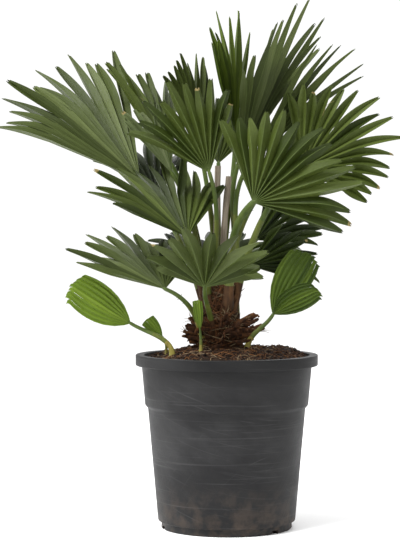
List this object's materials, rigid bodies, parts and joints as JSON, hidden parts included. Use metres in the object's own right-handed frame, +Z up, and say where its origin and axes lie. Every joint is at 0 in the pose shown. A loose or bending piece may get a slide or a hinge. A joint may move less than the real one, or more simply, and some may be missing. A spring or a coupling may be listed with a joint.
{
  "type": "potted fan palm",
  "caption": "Small fan palm with pleated green fans on slim stalks, a short fibrous trunk and young side shoots, in a round dark grey nursery pot of compost.",
  "frame": {"origin": "middle of the pot's flat underside", "axes": "+Z up, +X to the right and -Y to the front as the picture shows the plant"},
  "size_m": [0.5308, 0.3801, 0.6976],
  "materials": {
    "pot_plastic": "matt moulded plastic, scuffed, with dirt near the foot",
    "compost": "moist fibrous potting compost",
    "trunk_fibre": "brown leaf-base fibre and old stubs",
    "dead_stalk": "dry grey-beige stalk",
    "stalk_green": "smooth olive stalk, yellower towards its foot",
    "leaf_green": "stiff pleated leaf with a waxy bloom",
    "young_leaf": "bright pleated young leaf"
  },
  "bodies": {
    "root": {"blade_back_left": "leaf_green", "blade_back_low_centre": "leaf_green", "blade_back_low_left": "leaf_green", "blade_back_low_right": "leaf_green", "blade_back_right": "leaf_green", "blade_back_top": "leaf_green", "blade_centre": "leaf_green", "blade_centre_back": "leaf_green", "blade_front_right": "leaf_green", "blade_left_middle": "leaf_green", "blade_lower_centre": "leaf_green", "blade_lower_left": "leaf_green", "blade_lower_right": "leaf_green", "blade_right": "leaf_green", "blade_right_back": "leaf_green", "blade_seedling_left": "young_leaf", "blade_seedling_trunk": "young_leaf", "blade_top_centre": "leaf_green", "blade_top_right": "leaf_green", "blade_top_right_low": "leaf_green", "blade_upper_left": "leaf_green", "blade_upper_left_back": "leaf_green", "blade_upper_left_front": "leaf_green", "blade_young_left": "young_leaf", "blade_young_right_back": "young_leaf", "blade_young_right_front": "young_leaf", "compost": "compost", "dead_stalk_left": "dead_stalk", "dead_stalk_right": "dead_stalk", "pot": "pot_plastic", "stalk_back_left": "stalk_green", "stalk_back_low_centre": "stalk_green", "stalk_back_low_left": "stalk_green", "stalk_back_low_right": "stalk_green", "stalk_back_right": "stalk_green", "stalk_back_top": "stalk_green", "stalk_centre": "stalk_green", "stalk_centre_back": "stalk_green", "stalk_front_right": "stalk_green", "stalk_left_middle": "stalk_green", "stalk_lower_centre": "stalk_green", "stalk_lower_left": "stalk_green", "stalk_lower_right": "stalk_green", "stalk_right": "stalk_green", "stalk_right_back": "stalk_green", "stalk_seedling_left": "stalk_green", "stalk_seedling_trunk": "stalk_green", "stalk_top_centre": "stalk_green", "stalk_top_right": "stalk_green", "stalk_top_right_low": "stalk_green", "stalk_upper_left": "stalk_green", "stalk_upper_left_back": "stalk_green", "stalk_upper_left_front": "stalk_green", "stalk_young_left": "stalk_green", "stalk_young_right_back": "stalk_green", "trunk": "trunk_fibre"}
  },
  "joints": []
}
